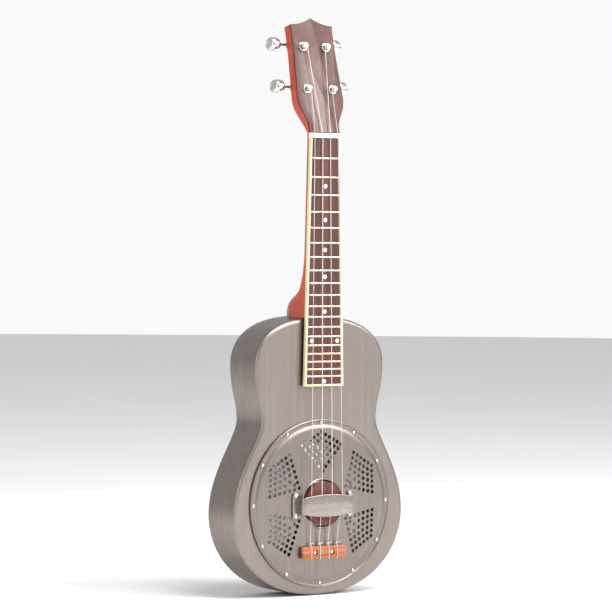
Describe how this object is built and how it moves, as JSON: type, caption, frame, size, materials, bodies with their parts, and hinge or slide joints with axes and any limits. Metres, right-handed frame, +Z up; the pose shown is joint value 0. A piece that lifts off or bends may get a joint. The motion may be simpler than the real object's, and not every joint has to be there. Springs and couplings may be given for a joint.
{
  "type": "resonator ukulele",
  "caption": "Four-string concert resonator ukulele: pressed nickel body, spun cone under a perforated domed cover, bound fingerboard, slanted headstock, geared tuners.",
  "frame": {"origin": "inside the neck under the nut, in the plane of the body's front plate, where a wall hanger's fork carries it", "axes": "+Z up along the neck, strings towards -Y, X = 0 the plane of symmetry"},
  "size_m": [0.2198, 0.0699, 0.6182],
  "materials": {
    "nickel": "vertically brushed satin nickel plate",
    "chrome": "polished chrome",
    "steel": "nickel-plated steel",
    "brass": "bright brass",
    "cone_aluminium": "spun aluminium",
    "neck_wood": "satin orange-red stained mahogany",
    "rosewood": "oiled dark red-brown rosewood",
    "black_wood": "black stained hardwood",
    "tie_wood": "satin red-brown hardwood",
    "biscuit_wood": "raw red-brown maple",
    "binding": "ivory plastic",
    "nut": "white bone",
    "string": "clear rose nylon"
  },
  "bodies": {
    "instrument": {"body_top": "nickel", "body_sides": "nickel", "body_back": "nickel", "soundwell": "nickel", "neck_stick": "neck_wood", "resonator_cone": "cone_aluminium", "biscuit": "biscuit_wood", "biscuit_screw": "brass", "saddle": "black_wood", "coverplate": "nickel", "palm_rest": "nickel", "tie_block": "tie_wood", "neck": "neck_wood", "headplate": "rosewood", "fingerboard": "rosewood", "binding": "binding", "fingerboard_riser": "black_wood", "nut": "nut", "cover_screw_1": "chrome", "cover_screw_2": "chrome", "cover_screw_3": "chrome", "cover_screw_4": "chrome", "cover_screw_5": "chrome", "cover_screw_6": "chrome", "cover_screw_7": "chrome", "cover_screw_8": "chrome", "cover_screw_9": "chrome", "cover_screw_10": "chrome", "cover_screw_11": "chrome", "cover_screw_12": "chrome", "palm_rest_screw_1": "chrome", "palm_rest_screw_2": "chrome", "palm_rest_screw_3": "chrome", "palm_rest_screw_4": "chrome", "tie_block_screw_1": "chrome", "tie_block_screw_2": "chrome", "string_1": "string", "string_2": "string", "string_3": "string", "string_4": "string", "tuner_1_plate": "steel", "tuner_1_ferrule": "chrome", "tuner_2_plate": "steel", "tuner_2_ferrule": "chrome", "tuner_3_plate": "steel", "tuner_3_ferrule": "chrome", "tuner_4_plate": "steel", "tuner_4_ferrule": "chrome"},
    "tuner_1_drive": {"tuner_1_worm_shaft": "steel", "tuner_1_knob": "chrome"},
    "tuner_1_string_post": {"tuner_1_post": "steel"},
    "tuner_2_drive": {"tuner_2_worm_shaft": "steel", "tuner_2_knob": "chrome"},
    "tuner_2_string_post": {"tuner_2_post": "steel"},
    "tuner_3_drive": {"tuner_3_worm_shaft": "steel", "tuner_3_knob": "chrome"},
    "tuner_3_string_post": {"tuner_3_post": "steel"},
    "tuner_4_drive": {"tuner_4_worm_shaft": "steel", "tuner_4_knob": "chrome"},
    "tuner_4_string_post": {"tuner_4_post": "steel"}
  },
  "joints": [
    {"name": "tuner_1_knob_turn", "type": "hinge", "parent": "instrument", "child": "tuner_1_drive", "pos_m": [-0.0164, 0.02572, 0.05489], "axis": [1, 0, 0], "continuous": true},
    {"name": "tuner_1_post_turn", "type": "hinge", "parent": "instrument", "child": "tuner_1_string_post", "pos_m": [-0.0164, 0.02408, 0.04807], "axis": [0, -0.9724, 0.2334], "continuous": true},
    {"name": "tuner_2_knob_turn", "type": "hinge", "parent": "instrument", "child": "tuner_2_drive", "pos_m": [-0.0148, 0.03669, 0.10059], "axis": [1, 0, 0], "continuous": true},
    {"name": "tuner_2_post_turn", "type": "hinge", "parent": "instrument", "child": "tuner_2_string_post", "pos_m": [-0.0148, 0.03505, 0.09377], "axis": [0, -0.9724, 0.2334], "continuous": true},
    {"name": "tuner_3_knob_turn", "type": "hinge", "parent": "instrument", "child": "tuner_3_drive", "pos_m": [0.0148, 0.03669, 0.10059], "axis": [1, 0, 0], "continuous": true},
    {"name": "tuner_3_post_turn", "type": "hinge", "parent": "instrument", "child": "tuner_3_string_post", "pos_m": [0.0148, 0.03505, 0.09377], "axis": [0, -0.9724, 0.2334], "continuous": true},
    {"name": "tuner_4_knob_turn", "type": "hinge", "parent": "instrument", "child": "tuner_4_drive", "pos_m": [0.0164, 0.02572, 0.05489], "axis": [1, 0, 0], "continuous": true},
    {"name": "tuner_4_post_turn", "type": "hinge", "parent": "instrument", "child": "tuner_4_string_post", "pos_m": [0.0164, 0.02408, 0.04807], "axis": [0, -0.9724, 0.2334], "continuous": true}
  ],
  "couplings": [
    {"joint": "tuner_1_post_turn", "follows": "tuner_1_knob_turn", "ratio": 0.071429},
    {"joint": "tuner_2_post_turn", "follows": "tuner_2_knob_turn", "ratio": 0.071429},
    {"joint": "tuner_3_post_turn", "follows": "tuner_3_knob_turn", "ratio": 0.071429},
    {"joint": "tuner_4_post_turn", "follows": "tuner_4_knob_turn", "ratio": 0.071429}
  ]
}
